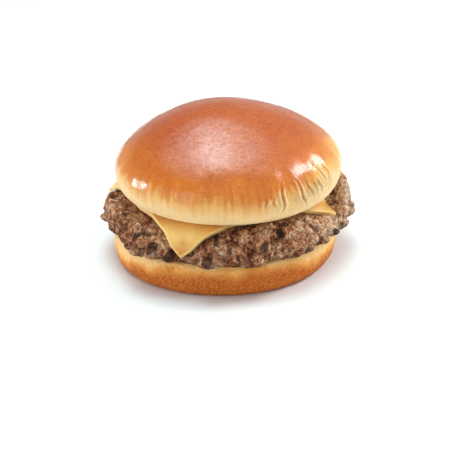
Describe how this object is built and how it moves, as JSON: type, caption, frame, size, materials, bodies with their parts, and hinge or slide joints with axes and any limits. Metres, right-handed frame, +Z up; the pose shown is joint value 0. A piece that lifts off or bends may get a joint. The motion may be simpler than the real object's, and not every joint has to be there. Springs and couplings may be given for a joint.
{
  "type": "cheeseburger",
  "caption": "Cheeseburger: glazed domed bun, coarse grilled beef patty and a slice of cheese whose corners bend down over the patty's rim.",
  "frame": {"origin": "centre of the burger's footprint box, on the surface it stands on", "axes": "+Z up through the stack, +X to the burger's right, -Y to its front, where the cheese's long corner hangs"},
  "size_m": [0.1292, 0.1248, 0.0798],
  "materials": {
    "heel_crust": "dry golden crust with fine pores, paler at the cut edge and browner at the foot",
    "grilled_beef": "coarse minced beef, grilled brown with charred spots and a thin wet sheen",
    "cheese": "smooth warm yellow with a soft sheen",
    "crown_crust": "egg-glazed crust, deep orange-brown on top, golden below and cream at the lower edge"
  },
  "bodies": {
    "root": {"bun_heel": "heel_crust", "patty": "grilled_beef", "cheese_slice": "cheese", "bun_crown": "crown_crust"}
  },
  "joints": []
}
